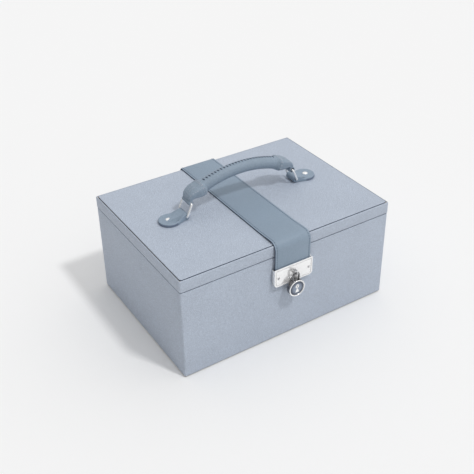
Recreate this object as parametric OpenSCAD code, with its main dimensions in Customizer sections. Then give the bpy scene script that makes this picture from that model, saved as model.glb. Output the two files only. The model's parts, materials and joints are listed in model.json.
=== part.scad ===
// Leather-covered jewellery chest with a hinged lid, inner drawers, a strap clasp and a carrying handle.
// Origin: middle of the flat underside. +X right, -Y front, +Z up. Millimetres.

/* [Box] */
// Width of the lid across the front
box_w = 280; // [260:1:310]
// Depth of the lid from front to back
box_d = 204; // [200:1:220]
// Height of the closed box to the top of the lid
box_h = 131; // [129:1:150]
// Height of the lid, from its lower edge to its top
lid_h = 15.3; // [15:0.1:18]
// Thickness of the wall boards
board_t = 5.5; // [5:0.1:6]
// Thickness of the leather covering
leather_t = 1; // [0.8:0.1:1.2]
// Thickness of the velvet lining
velvet_t = 1; // [0.8:0.1:1.2]

/* [Inner drawers] */
// Depth of the drawer cabinet, front to back
cabinet_d = 102; // [96:1:104]
// Clear height of each row of drawers
row_h = 31; // [28:1:32]
// How far each drawer slides out over the front well
drawer_travel = 70; // [60:1:72]

/* [Strap and clasp] */
// Width of the leather strap
strap_w = 48; // [40:1:50]
// Thickness of the strap
strap_t = 1.6; // [1.4:0.1:1.8]
// Width of the metal plate at the end of the strap
plate_w = 52; // [52:1:60]
// Height of the metal plate
plate_h = 23.5; // [23:0.5:26]

/* [Padlock] */
// Diameter of the round padlock
lock_d = 21; // [20:0.5:23]
// Thickness of the padlock
lock_t = 6.4; // [6:0.1:7]
// Diameter of the shackle wire
shackle_wire = 2.2; // [2:0.1:2.4]

/* [Handle] */
// Diameter of the round grip
grip_d = 14.2; // [13:0.2:16]
// Radius of the grip's arch, along its middle
arch_r = 136; // [130:1:145]
// Height of the middle of the grip at the centre
grip_z = 172.4; // [170:0.2:176]
// Distance from the centre to each ring's lower bar
ring_x = 76.6; // [74:0.2:78]
// Distance from the front face line to the handle's plane, measured from the middle of the box
handle_y = 2.5; // [0:0.5:5]

/* [Hidden] */
$fn = 64;

// Colours
leather = "#a9b1be";
strap_leather = "#8c9cae";
handle_leather = "#75808f";
velvet = "#3e4658";
silver = "#d9dade";
wood = "#b89a72";
steel = "#a8abb0";
face_blue = "#8fa3b8";
glass = "#cfdde2";

// Base: outer size, boards and the clear room inside
pad_h = 1.2;
floor_t = 5;
base_inset = 0.3;
seam_gap = 0.5;
base_x = box_w/2 - base_inset;
base_y = box_d/2 - base_inset;
base_top = box_h - lid_h - seam_gap;
lid_bottom = box_h - lid_h;
board_x = base_x - leather_t;
board_y = base_y - leather_t;
inner_x = board_x - board_t;
inner_y = board_y - board_t;
room_x = inner_x - velvet_t;
room_y = inner_y - velvet_t;
floor_top = pad_h + floor_t;
room_z = floor_top + velvet_t;
corner_r = 1.6;

// Drawer cabinet in the rear half, a front well in the other
shelf_t = 3;
slide_gap = 0.3;
cabinet_front = room_y - cabinet_d;
lower_top = room_z + row_h;
upper_bottom = lower_top + shelf_t;
upper_top = upper_bottom + row_h;
cabinet_top = upper_top + shelf_t;
drawer_wall = 3;
drawer_back = room_y - 3;
drawer_front_t = 3;
skin_t = 0.8;
knob_len = 7.1;
tray_top = base_top - 3.2;
tray_wall = 3;
tray_x = room_x - 0.2;
tray_back = room_y - 0.2;
divider_x = 45;

// Lid: band, boards and the recess under them
top_board_bottom = box_h - 6.8;
top_board_top = box_h - 1.8;
panel_inset = 1.5;
lid_x = box_w/2;
lid_y = box_d/2;
lid_board_x = lid_x - leather_t;
lid_board_y = lid_y - leather_t;
lid_room_x = lid_board_x - board_t;
lid_room_y = lid_board_y - board_t;
band_top = box_h - 0.7;
frame_w = 8;

// Rear hinges, centred at plus and minus hinge_x
hinge_x = 90;
hinge_w = 26;
leaf_t = 1.2;
knuckle_r = 2.4;
pin_r = 1;
fit = 0.05;
axis_y = lid_y + knuckle_r + 0.2;
axis_z = lid_bottom - 0.25;
screw_r = 0.9;
screw_x = 8.5;
lower_screw_z = 104;
upper_screw_z = lid_bottom + 6.9;

// Strap: it stands off the front by strap_off and bends over the lid's edges
strap_off = 1.7;
strap_in_y = -lid_y - strap_off;
strap_out_y = strap_in_y - strap_t;
front_bend = 3.2;
rear_bend = 1.6;
rear_in_y = lid_y + 0.3;
bend_z = box_h - front_bend;
tongue_top = bend_z - 0.9;
plate_front = strap_out_y - 2.1;
plate_back = strap_in_y + 0.4;
plate_t = 1.2;
plate_top = 101;
plate_bottom = plate_top - plate_h;
plate_r = 4.5;
tongue_end = plate_bottom + 8.5;
rivet_x = 20.5;
rivet_z = 89;
rivet_r = 0.8;
back_plate_t = 0.8;

// Staple and padlock
lock_y = plate_front - 1.1 - lock_t/2;
hole_z = 91.8;
hole_r = 2;
staple_r = 3.2;
staple_t = 2.4;
wire_r = shackle_wire/2;
bar_z = hole_z - 0.4;
leg_x = 3.75;
lock_z = 71.6;
lock_r = lock_d/2;
long_leg_end = lock_z + 3;
short_leg_end = lock_z + 6;
recess_r = 9;
recess_t = 1;
plug_r = 1.9;
plug_z = lock_z + 2.9;

// Handle, its rings and the tabs that hold them
ring_wire = 1.1;
ring_leg = 1.05;
ring_half_w = 10;
ring_bar_z = box_h + 4.1;
ring_top_x = ring_x - 6.8;
ring_top_z = ring_bar_z + 15.7;
loop_w = 17;
tab_loop_w = 17;
tab_loop_r = 4;
loop_r = 2.6;
open_r = 2.3;
open_loop_r = 3.6;
arch_half = asin(50/arch_r);
arch_z = grip_z - arch_r;
core_r = grip_d/2 - 1.6;
tab_r = 12.8;
tab_x = ring_x + 17.5;
tab_t = 3.4;
tab_rivet_x = ring_x + 18.8;
tab_rivet_r = 1.2;

// ---- helpers ----

// A box from its lowest corner to its highest one
module block(lo, hi) {
  translate(lo) cube(hi - lo);
}

// A rectangle with round corners, centred
module rounded(w, d, r) {
  square([w - 2*r, d], center = true);
  square([w, d - 2*r], center = true);
  for (x = [-w/2 + r, w/2 - r], y = [-d/2 + r, d/2 - r])
    translate([x, y]) circle(r);
}

// A round bar along X, and one along Y
module bar_x(r, x0, x1, y, z) {
  translate([x0, y, z]) rotate([0, 90, 0]) cylinder(h = x1 - x0, r = r);
}
module bar_y(r, x, z, y0, y1) {
  translate([x, y1, z]) rotate([90, 0, 0]) cylinder(h = y1 - y0, r = r);
}

// An upright sheet from a flat drawing in X and Z, from y0 to y1
module sheet_xz(y0, y1) {
  translate([0, y1, 0]) rotate([90, 0, 0]) linear_extrude(y1 - y0) children();
}

// A strip of strap that follows a drawing in Y and Z, across the strap's width
module strip_yz(w) {
  translate([-w/2, 0, 0]) rotate([90, 0, 90]) linear_extrude(w) children();
}

// ---- base ----

module base_pad() {
  color(velvet) linear_extrude(pad_h) rounded(2*base_x - 4.4, 2*base_y - 4.4, corner_r);
}

module base_floor_board() {
  color(wood) block([-inner_x, -inner_y, pad_h], [inner_x, inner_y, floor_top]);
}

module base_front_board() {
  color(wood) difference() {
    block([-board_x, -board_y, pad_h], [board_x, -inner_y, base_top - leather_t]);
    keeper_recess(0.1);
  }
}

module base_back_board() {
  color(wood) difference() {
    block([-board_x, inner_y, pad_h], [board_x, board_y, base_top - leather_t]);
    screw_holes(lower_screw_z);
  }
}

module base_side_board() {
  block([inner_x, -inner_y, pad_h], [board_x, inner_y, base_top - leather_t]);
}

module base_left_board() {
  color(wood) mirror([1, 0, 0]) base_side_board();
}

module base_right_board() {
  color(wood) base_side_board();
}

// Leather over the walls, turned in over their rim
module base_cover() {
  color(leather) difference() {
    translate([0, 0, pad_h]) linear_extrude(base_top - pad_h) rounded(2*base_x, 2*base_y, corner_r);
    block([-board_x, -board_y, 0], [board_x, board_y, base_top - leather_t]);
    block([-inner_x, -inner_y, 0], [inner_x, inner_y, box_h]);
    screw_holes(lower_screw_z);
  }
}

// Velvet on the walls and the floor
module base_lining() {
  color(velvet) difference() {
    block([-inner_x, -inner_y, floor_top], [inner_x, inner_y, base_top - leather_t]);
    block([-room_x, -room_y, room_z], [room_x, room_y, box_h]);
  }
}

// Steel strip under the leather, which the magnets in the clasp hold on to
module keeper_recess(gap) {
  block([-22 - gap, -board_y - 1, 77 - gap], [22 + gap, -board_y + 1 + gap, 87 + gap]);
}

module keeper_plate() {
  color(steel) block([-22, -board_y, 77], [22, -board_y + 1, 87]);
}

// ---- drawer cabinet and tray ----

module cabinet_uprights() {
  color(wood) {
    for (side = [-1, 1])
      translate([side*(room_x - shelf_t/2), 0, 0])
        block([-shelf_t/2, cabinet_front, room_z], [shelf_t/2, room_y, upper_top]);
    block([-shelf_t/2, cabinet_front, upper_bottom], [shelf_t/2, room_y, upper_top]);
  }
}

module cabinet_shelves() {
  color(wood) {
    block([-room_x + shelf_t, cabinet_front, lower_top], [room_x - shelf_t, room_y, upper_bottom]);
    block([-room_x, cabinet_front, upper_top], [room_x, room_y, cabinet_top]);
  }
}

module top_tray() {
  color(wood) difference() {
    block([-tray_x, cabinet_front, cabinet_top], [tray_x, tray_back, tray_top]);
    block([-tray_x + tray_wall, cabinet_front + tray_wall, cabinet_top + tray_wall],
          [tray_x - tray_wall, tray_back - tray_wall, box_h]);
  }
}

module tray_lining() {
  x = tray_x - tray_wall;
  y0 = cabinet_front + tray_wall;
  y1 = tray_back - tray_wall;
  z = cabinet_top + tray_wall;
  color(velvet) difference() {
    block([-x, y0, z], [x, y1, tray_top - skin_t]);
    block([-x + skin_t, y0 + skin_t, z + skin_t], [x - skin_t, y1 - skin_t, box_h]);
  }
}

// Two walls from front to back, and a separate cross wall in the right-hand compartment
module tray_dividers() {
  x = tray_x - tray_wall - skin_t;
  y0 = cabinet_front + tray_wall + skin_t;
  y1 = tray_back - tray_wall - skin_t;
  z0 = cabinet_top + tray_wall + skin_t;
  color(velvet) {
    for (side = [-1, 1])
      translate([side*divider_x, 0, 0])
        block([-1.5, y0, z0], [1.5, y1, tray_top - 2]);
    block([divider_x + 1.6, (y0 + y1)/2 - 1.5, z0], [x, (y0 + y1)/2 + 1.5, tray_top - 2]);
  }
}

// Padded rolls that hold rings upright between them
module ring_rolls() {
  count = 7;
  x0 = -tray_x + tray_wall + skin_t + 0.5;
  x1 = -divider_x - 2;
  y0 = cabinet_front + tray_wall + skin_t + 0.4;
  y1 = tray_back - tray_wall - skin_t - 0.4;
  step = (y1 - y0)/count;
  roll_r = step/2 - 0.4;
  z0 = cabinet_top + tray_wall + skin_t;
  color(velvet) for (i = [0:count - 1]) {
    y = y0 + (i + 0.5)*step;
    bar_x(roll_r, x0, x1, y, tray_top - roll_r - 2);
    block([x0, y - roll_r + 1, z0], [x1, y + roll_r - 1, tray_top - roll_r - 2]);
  }
}

// ---- rear hinges ----

// Holes for the screws of both hinges at one height
module screw_holes(z) {
  for (side = [-1, 1], s = [-1, 1])
    bar_y(screw_r + fit, side*hinge_x + s*screw_x, z, lid_y - 8, lid_y + 4);
}

module screws(z, face_y) {
  for (side = [-1, 1], s = [-1, 1]) {
    x = side*hinge_x + s*screw_x;
    bar_y(screw_r, x, z, lid_y - 6, face_y + 0.4);
    bar_y(2, x, z, face_y, face_y + 0.8);
  }
}

// One knuckle of a barrel, from x0 to x1, with the strip that joins it to its leaf
module knuckle(x0, x1, y0, y1, z0, z1) {
  bar_x(knuckle_r, x0, x1, axis_y, axis_z);
  block([x0, y0, z0], [x1, y1, z1]);
}

module hinge_lower_leaf() {
  difference() {
    union() {
      block([-hinge_w/2, base_y, base_top - 17], [hinge_w/2, base_y + leaf_t, base_top - 1.9]);
      knuckle(-hinge_w/2, -4.5, base_y, base_y + leaf_t, base_top - 3, base_top);
      knuckle(4.5, hinge_w/2, base_y, base_y + leaf_t, base_top - 3, base_top);
    }
    bar_x(pin_r + fit, -hinge_w, hinge_w, axis_y, axis_z);
    for (s = [-1, 1]) bar_y(screw_r + fit, s*screw_x, lower_screw_z, base_y - 1, base_y + 3);
  }
}

module hinge_lower_leaves() {
  color(silver) for (side = [-1, 1]) translate([side*hinge_x, 0, 0]) hinge_lower_leaf();
}

module hinge_pins() {
  color(silver) for (side = [-1, 1])
    bar_x(pin_r, side*hinge_x - hinge_w/2 - 0.4, side*hinge_x + hinge_w/2 + 0.4, axis_y, axis_z);
}

module hinge_lower_screws() {
  color(silver) screws(lower_screw_z, base_y + leaf_t);
}

module hinge_upper_leaf() {
  difference() {
    union() {
      block([-hinge_w/2, lid_y, lid_bottom + 2.4], [hinge_w/2, lid_y + leaf_t, box_h - 2.3]);
      knuckle(-4.3, 4.3, lid_y, lid_y + leaf_t, lid_bottom, lid_bottom + 3);
    }
    bar_x(pin_r + fit, -hinge_w, hinge_w, axis_y, axis_z);
    for (s = [-1, 1]) bar_y(screw_r + fit, s*screw_x, upper_screw_z, lid_y - 1, lid_y + 3);
  }
}

module hinge_upper_leaves() {
  color(silver) for (side = [-1, 1]) translate([side*hinge_x, 0, 0]) hinge_upper_leaf();
}

module hinge_upper_screws() {
  color(silver) screws(upper_screw_z, lid_y + leaf_t);
}

// ---- lid ----

// Holes for the rivets that hold the handle's tabs
module tab_rivet_holes() {
  for (side = [-1, 1])
    translate([side*tab_rivet_x, handle_y, top_board_bottom - 2])
      cylinder(h = 20, r = tab_rivet_r + fit);
}

module lid_top_board() {
  color(wood) difference() {
    block([-lid_board_x, -lid_board_y, top_board_bottom], [lid_board_x, lid_board_y, top_board_top]);
    tab_rivet_holes();
    for (side = [-1, 1])
      translate([side*tab_rivet_x, handle_y, top_board_bottom - 1]) cylinder(h = 2.2, r = 2.8);
  }
}

// Four rails under the top board
module lid_frame() {
  z0 = lid_bottom + leather_t;
  color(wood) difference() {
    block([-lid_board_x, -lid_board_y, z0], [lid_board_x, lid_board_y, top_board_bottom]);
    block([-lid_room_x, -lid_room_y, 0], [lid_room_x, lid_room_y, box_h]);
    screw_holes(upper_screw_z);
  }
}

// Leather round the lid's sides, turned in under its rim
module lid_cover_band() {
  color(leather) difference() {
    translate([0, 0, lid_bottom]) linear_extrude(band_top - lid_bottom) rounded(box_w, box_d, corner_r);
    block([-lid_board_x, -lid_board_y, lid_bottom + leather_t], [lid_board_x, lid_board_y, box_h]);
    block([-lid_room_x, -lid_room_y, 0], [lid_room_x, lid_room_y, box_h]);
    screw_holes(upper_screw_z);
  }
}

// Padded leather panel inside the band, with a fine crease round it
module lid_cover_top() {
  color(leather) difference() {
    translate([0, 0, top_board_top]) linear_extrude(box_h - top_board_top)
      rounded(box_w - 2*panel_inset, box_d - 2*panel_inset, 2.5);
    tab_rivet_holes();
  }
}

module lid_lining() {
  x = lid_room_x;
  y = lid_room_y;
  z0 = lid_bottom + leather_t;
  color(velvet) difference() {
    block([-x, -y, z0], [x, y, top_board_bottom]);
    block([-x + velvet_t, -y + velvet_t, 0], [x - velvet_t, y - velvet_t, top_board_bottom - velvet_t]);
  }
}

module lid_mirror() {
  z1 = top_board_bottom - velvet_t;
  color(glass) block([-lid_room_x + 14, -lid_room_y + 14, z1 - 1.5],
                     [lid_room_x - 14, lid_room_y - 14, z1]);
}

module mirror_frame() {
  z1 = top_board_bottom - velvet_t;
  x = lid_room_x - 14;
  y = lid_room_y - 14;
  color(velvet) difference() {
    block([-x - frame_w, -y - frame_w, z1 - 2.2], [x + frame_w, y + frame_w, z1]);
    block([-x, -y, z1 - 1.5], [x, y, z1 + 1]);
    block([-x + 2, -y + 2, z1 - 3], [x - 2, y - 2, z1]);
  }
}

// The strap's section in Y and Z over the top of the lid, with a bend at each end
module strap_section() {
  cy = strap_in_y + front_bend;
  ry = rear_in_y - rear_bend;
  translate([cy, box_h]) square([ry - cy, strap_t]);
  quarter(cy, bend_z, front_bend, -1);
  quarter(ry, box_h - rear_bend, rear_bend, 1);
  translate([rear_in_y, lid_bottom + 2]) square([strap_t, box_h - rear_bend - lid_bottom - 2]);
}

// A quarter ring about (cy, cz), towards the front when side is -1
module quarter(cy, cz, r, side) {
  translate([cy, cz]) difference() {
    circle(r + strap_t);
    circle(r);
    translate([-20, -40]) square(40);
    translate([side > 0 ? -40 : 0, -20]) square(40);
  }
}

module strap_top() {
  color(strap_leather) strip_yz(strap_w) strap_section();
}

// One tab: a round-ended plate, a narrower neck, and a loop round the ring's lower bar
module tab() {
  neck = tab_loop_w/2;
  difference() {
    union() {
      translate([tab_x, handle_y, box_h]) cylinder(h = tab_t, r = tab_r);
      block([ring_x + 9, handle_y - tab_r + 0.6, box_h], [tab_x, handle_y + tab_r - 0.6, box_h + tab_t]);
      sheet_xz(handle_y - neck, handle_y + neck) polygon([
        [ring_x, box_h],
        [ring_x + 12, box_h],
        [ring_x + 12, box_h + tab_t],
        [ring_x + 1, ring_bar_z + tab_loop_r - 0.15],
        [ring_x, ring_bar_z]
      ]);
      bar_y(tab_loop_r, ring_x, ring_bar_z, handle_y - neck, handle_y + neck);
    }
    bar_y(ring_wire + fit, ring_x, ring_bar_z, handle_y - 20, handle_y + 20);
    tab_rivet_holes();
  }
}

module tab_left() {
  color(strap_leather) mirror([1, 0, 0]) tab();
}

module tab_right() {
  color(strap_leather) tab();
}

// Domed rivets through the tabs and the lid's top board
module tab_rivets() {
  dome_r = 4.4;
  color(silver) for (side = [-1, 1]) translate([side*tab_rivet_x, handle_y, 0]) {
    translate([0, 0, top_board_bottom + 0.2]) cylinder(h = 0.8, r = 2.6);
    translate([0, 0, top_board_bottom + 0.4]) cylinder(h = box_h + tab_t - top_board_bottom, r = tab_rivet_r);
    intersection() {
      translate([0, 0, box_h + tab_t - dome_r + 1.2]) sphere(dome_r);
      translate([0, 0, box_h + tab_t]) cylinder(h = 3, r = 6);
    }
  }
}

// ---- tongue of the strap and its clasp ----

// The plate's outline in X and Z: square above, round corners below
module plate_outline(w, z0, z1, r) {
  translate([-w/2, z0 + r]) square([w, z1 - z0 - r]);
  translate([-w/2 + r, z0]) square([w - 2*r, r + 1]);
  for (x = [-w/2 + r, w/2 - r]) translate([x, z0 + r]) circle(r);
}

module clasp_rivet_holes() {
  for (side = [-1, 1])
    bar_y(rivet_r + fit, side*rivet_x, rivet_z, plate_front - 1, plate_back + 1);
}

module strap_tongue() {
  color(strap_leather) difference() {
    block([-strap_w/2, strap_out_y, tongue_end], [strap_w/2, strap_in_y, tongue_top]);
    clasp_rivet_holes();
  }
}

// A shallow metal tray, open at the back and the top, that takes the end of the strap
module clasp_plate() {
  color(silver) difference() {
    sheet_xz(plate_front, plate_back) plate_outline(plate_w, plate_bottom, plate_top, plate_r);
    sheet_xz(plate_front + plate_t, plate_back + 1)
      plate_outline(plate_w - 2*plate_t, plate_bottom + plate_t, plate_top + 5, plate_r - plate_t);
    block([-staple_t/2 - fit, plate_front - 1, hole_z - staple_r - fit],
          [staple_t/2 + fit, plate_front + 2, hole_z + staple_r + fit]);
    clasp_rivet_holes();
  }
}

module clasp_back_plate() {
  color(silver) difference() {
    sheet_xz(plate_back, plate_back + back_plate_t)
      plate_outline(plate_w, plate_bottom, plate_top, plate_r);
    clasp_rivet_holes();
  }
}

module clasp_rivets() {
  color(silver) for (side = [-1, 1]) {
    bar_y(rivet_r, side*rivet_x, rivet_z, plate_front - 0.3, plate_back + back_plate_t);
    bar_y(1.6, side*rivet_x, rivet_z, plate_front - 0.6, plate_front);
  }
}

// Eye that the padlock hangs on, held in a slot of the plate
module clasp_staple() {
  x0 = -staple_t/2;
  x1 = staple_t/2;
  color(silver) difference() {
    union() {
      bar_x(staple_r, x0, x1, lock_y, hole_z);
      block([x0, lock_y, hole_z - staple_r], [x1, plate_front + plate_t + 0.6, hole_z + staple_r]);
    }
    bar_x(hole_r, x0 - 1, x1 + 1, lock_y, hole_z);
  }
}

module clasp_magnets() {
  color(steel) for (side = [-1, 1]) translate([side*10, 0, plate_bottom + plate_t + 0.5])
    block([-7, plate_front + plate_t + 0.2, 0], [7, plate_back - 0.3, 6]);
}

// ---- padlock ----

module padlock_shackle() {
  arc_z = bar_z - leg_x;
  color(steel) translate([0, lock_y, 0]) {
    translate([0, 0, arc_z]) rotate([90, 0, 0]) rotate_extrude(angle = 180)
      translate([leg_x, 0]) circle(wire_r);
    translate([-leg_x, 0, long_leg_end]) cylinder(h = arc_z - long_leg_end, r = wire_r);
    translate([leg_x, 0, short_leg_end]) cylinder(h = arc_z - short_leg_end, r = wire_r);
  }
}

module padlock_case() {
  front = lock_y - lock_t/2;
  color(silver) difference() {
    bar_y(lock_r, 0, lock_z, front, lock_y + lock_t/2);
    bar_y(recess_r, 0, lock_z, front - 1, front + recess_t);
    bar_y(plug_r + fit, 0, plug_z, front, lock_y + 1.2);
    translate([-leg_x, lock_y, long_leg_end - 0.2]) cylinder(h = 20, r = wire_r + fit);
    translate([leg_x, lock_y, short_leg_end - 0.2]) cylinder(h = 20, r = wire_r + fit);
  }
}

module padlock_face() {
  y1 = lock_y - lock_t/2 + recess_t;
  color(face_blue) difference() {
    bar_y(recess_r - fit, 0, lock_z, y1 - 0.4, y1);
    bar_y(plug_r + fit, 0, plug_z, y1 - 2, y1 + 1);
  }
}

// Keyhole-shaped plate round the plug, flaring below it
module padlock_keyhole() {
  y1 = lock_y - lock_t/2 + recess_t - 0.4;
  color(silver) difference() {
    sheet_xz(y1 - 0.4, y1) {
      translate([0, plug_z]) circle(plug_r + 0.6);
      polygon([[-0.7, plug_z - 2.2], [0.7, plug_z - 2.2], [2.3, lock_z - 5], [-2.3, lock_z - 5]]);
    }
    bar_y(plug_r + fit, 0, plug_z, y1 - 2, y1 + 1);
  }
}

module padlock_plug() {
  front = lock_y - lock_t/2 + 0.15;
  color(steel) difference() {
    bar_y(plug_r, 0, plug_z, front, lock_y + 1);
    block([-0.35, front - 1, plug_z - 1.3], [0.35, front + 2.5, plug_z + 1.3]);
  }
}

// ---- handle ----

// The arch in X and Z, for a section drawn about its middle
module arch() {
  translate([0, handle_y, arch_z]) rotate([90, 0, 0]) rotate([0, 0, 90 - arch_half])
    rotate_extrude(angle = 2*arch_half, $fn = 200) translate([arch_r, 0]) children();
}

module handle_cover() {
  color(handle_leather) arch() difference() {
    circle(grip_d/2);
    circle(core_r);
  }
}

module handle_core() {
  color(wood) arch() circle(core_r - fit);
}

// Flat end that closes the grip and folds round the ring's upper bar
module handle_end(bore, outer) {
  ex = arch_r*sin(arch_half);
  ez = arch_z + arch_r*cos(arch_half);
  nx = sin(arch_half);
  nz = cos(arch_half);
  thick = 5;
  thin = 2.2;
  y0 = handle_y - loop_w/2;
  y1 = handle_y + loop_w/2;
  difference() {
    union() {
      sheet_xz(y0, y1) polygon([
        [ex - thick*nx, ez - thick*nz],
        [ex + thick*nx, ez + thick*nz],
        [ex + 0.6*(ring_top_x - ex) + thick*nx, ez + 0.45*(ring_top_z - ez) + thin],
        [ring_top_x + thin, ring_top_z + 1],
        [ring_top_x - thin, ring_top_z - 0.5],
        [ex + 0.5*(ring_top_x - ex) - thin, ez + 0.5*(ring_top_z - ez) - thin]
      ]);
      bar_y(outer, ring_top_x, ring_top_z, y0, y1);
    }
    bar_y(bore, ring_top_x, ring_top_z, y0 - 1, y1 + 1);
  }
}

module handle_end_left() {
  color(handle_leather) mirror([1, 0, 0]) handle_end(ring_wire + fit, loop_r);
}

module handle_end_right() {
  color(handle_leather) handle_end(open_r, open_loop_r);
}

// Rectangular wire loop that leans in from the tab to the handle
module ring() {
  lean = atan((ring_x - ring_top_x)/(ring_top_z - ring_bar_z));
  length = norm([ring_x - ring_top_x, ring_top_z - ring_bar_z]);
  end = ring_half_w + ring_wire;
  translate([ring_x, handle_y, ring_bar_z]) rotate([0, -lean, 0]) {
    bar_y(ring_wire, 0, 0, -end, end);
    bar_y(ring_wire, 0, length, -end, end);
    for (side = [-1, 1]) translate([0, side*ring_half_w, 0]) cylinder(h = length, r = ring_leg);
  }
}

module ring_left() {
  color(silver) mirror([1, 0, 0]) ring();
}

module ring_right() {
  color(silver) ring();
}

// ---- inner drawers ----

// Each drawer fills the opening from x0 to x1 and z0 to z1, less the sliding gap
module drawer_box(x0, x1, z0, z1) {
  g = slide_gap;
  y0 = cabinet_front + drawer_front_t;
  difference() {
    block([x0 + g, y0, z0 + g], [x1 - g, drawer_back, z1 - 2]);
    block([x0 + g + drawer_wall, y0 + drawer_wall, z0 + g + drawer_wall],
          [x1 - g - drawer_wall, drawer_back - drawer_wall, z1]);
    drawer_knob_holes(x0, x1, z0, z1);
  }
}

module drawer_lining(x0, x1, z0, z1) {
  g = slide_gap + drawer_wall;
  y0 = cabinet_front + drawer_front_t + drawer_wall;
  y1 = drawer_back - drawer_wall;
  difference() {
    block([x0 + g, y0, z0 + g], [x1 - g, y1, z1 - 2.5]);
    block([x0 + g + skin_t, y0 + skin_t, z0 + g + skin_t], [x1 - g - skin_t, y1 - skin_t, z1]);
  }
}

module drawer_front(x0, x1, z0, z1) {
  g = slide_gap;
  difference() {
    block([x0 + g, cabinet_front, z0 + g], [x1 - g, cabinet_front + drawer_front_t, z1 - g]);
    drawer_knob_holes(x0, x1, z0, z1);
  }
}

// A wide drawer has two knobs and a narrow one has one
function knob_places(x0, x1) = x1 - x0 > 200 ? [x0/2, x1/2] : [(x0 + x1)/2];

module drawer_knob_holes(x0, x1, z0, z1) {
  for (x = knob_places(x0, x1))
    bar_y(1.5 + fit, x, (z0 + z1)/2, cabinet_front - 1, cabinet_front + drawer_front_t + 2);
}

module drawer_knobs(x0, x1, z0, z1) {
  for (x = knob_places(x0, x1)) translate([x, cabinet_front, (z0 + z1)/2]) rotate([90, 0, 0]) {
    translate([0, 0, -drawer_front_t - 1.5]) cylinder(h = drawer_front_t + 2, r = 1.5);
    cylinder(h = 3.5, r = 2);
    translate([0, 0, 3.5]) cylinder(h = 2.6, r1 = 3, r2 = 4.2);
    translate([0, 0, 6.1]) cylinder(h = knob_len - 6.1, r1 = 4.2, r2 = 3.4);
  }
}

long_x = room_x - shelf_t;
narrow_x = shelf_t/2;

module long_drawer_box() {
  color(wood) drawer_box(-long_x, long_x, room_z, lower_top);
}

module long_drawer_front() {
  color(leather) drawer_front(-long_x, long_x, room_z, lower_top);
}

module long_drawer_lining() {
  color(velvet) drawer_lining(-long_x, long_x, room_z, lower_top);
}

module long_drawer_knobs() {
  color(silver) drawer_knobs(-long_x, long_x, room_z, lower_top);
}

module left_drawer_box() {
  color(wood) drawer_box(-long_x, -narrow_x, upper_bottom, upper_top);
}

module left_drawer_front() {
  color(leather) drawer_front(-long_x, -narrow_x, upper_bottom, upper_top);
}

module left_drawer_lining() {
  color(velvet) drawer_lining(-long_x, -narrow_x, upper_bottom, upper_top);
}

module left_drawer_knob() {
  color(silver) drawer_knobs(-long_x, -narrow_x, upper_bottom, upper_top);
}

module right_drawer_box() {
  color(wood) drawer_box(narrow_x, long_x, upper_bottom, upper_top);
}

module right_drawer_front() {
  color(leather) drawer_front(narrow_x, long_x, upper_bottom, upper_top);
}

module right_drawer_lining() {
  color(velvet) drawer_lining(narrow_x, long_x, upper_bottom, upper_top);
}

module right_drawer_knob() {
  color(silver) drawer_knobs(narrow_x, long_x, upper_bottom, upper_top);
}

base_pad();
base_floor_board();
base_front_board();
base_back_board();
base_left_board();
base_right_board();
base_cover();
base_lining();
keeper_plate();
cabinet_uprights();
cabinet_shelves();
top_tray();
tray_lining();
tray_dividers();
ring_rolls();
hinge_lower_leaves();
hinge_pins();
hinge_lower_screws();
lid_top_board();
lid_frame();
lid_cover_band();
lid_cover_top();
lid_lining();
lid_mirror();
mirror_frame();
strap_top();
tab_left();
tab_right();
tab_rivets();
hinge_upper_leaves();
hinge_upper_screws();
strap_tongue();
clasp_plate();
clasp_back_plate();
clasp_rivets();
clasp_staple();
clasp_magnets();
padlock_shackle();
padlock_case();
padlock_face();
padlock_keyhole();
padlock_plug();
handle_cover();
handle_core();
handle_end_left();
handle_end_right();
ring_left();
ring_right();
long_drawer_box();
long_drawer_front();
long_drawer_lining();
long_drawer_knobs();
left_drawer_box();
left_drawer_front();
left_drawer_lining();
left_drawer_knob();
right_drawer_box();
right_drawer_front();
right_drawer_lining();
right_drawer_knob();
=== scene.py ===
# %% [markdown]
# # A leather jewellery chest
# The chest is a boarded box covered in pebbled leather. A smooth strap runs over its lid and ends in a
# polished plate with a little padlock, and an arched handle hangs on two wire rings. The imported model
# gives every place and size. Here each visible piece gets the shape and finish of the real one.

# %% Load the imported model
import json
import math
import bpy
import numpy as np
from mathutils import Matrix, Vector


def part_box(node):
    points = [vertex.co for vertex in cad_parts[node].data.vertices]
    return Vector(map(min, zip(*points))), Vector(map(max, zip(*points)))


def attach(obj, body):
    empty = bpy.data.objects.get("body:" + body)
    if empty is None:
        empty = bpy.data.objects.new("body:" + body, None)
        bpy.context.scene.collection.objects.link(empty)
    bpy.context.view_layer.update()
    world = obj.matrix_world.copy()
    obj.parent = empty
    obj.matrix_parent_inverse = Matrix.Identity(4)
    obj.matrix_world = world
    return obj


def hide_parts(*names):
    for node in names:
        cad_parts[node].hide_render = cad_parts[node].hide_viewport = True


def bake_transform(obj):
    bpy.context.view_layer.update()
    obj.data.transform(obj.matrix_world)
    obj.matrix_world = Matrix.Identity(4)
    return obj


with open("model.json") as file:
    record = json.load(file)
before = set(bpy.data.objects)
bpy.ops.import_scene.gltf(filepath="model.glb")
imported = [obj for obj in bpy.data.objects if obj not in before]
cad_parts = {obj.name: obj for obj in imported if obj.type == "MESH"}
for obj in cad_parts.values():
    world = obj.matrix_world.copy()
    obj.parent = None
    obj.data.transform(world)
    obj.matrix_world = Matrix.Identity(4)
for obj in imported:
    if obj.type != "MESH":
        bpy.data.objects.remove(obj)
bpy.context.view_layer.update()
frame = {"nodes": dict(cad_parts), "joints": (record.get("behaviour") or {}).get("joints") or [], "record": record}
MM = 0.001

# %% [markdown]
# ## Camera
# A still life like this is lit and framed first, because every later choice is judged through the lens.
# The camera stands to the left of the front corner and looks down on the lid. A longish lens keeps the
# box's edges nearly parallel. The small shift moves the picture without turning the camera.

# %% Camera
from mathutils import Matrix, Vector

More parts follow.
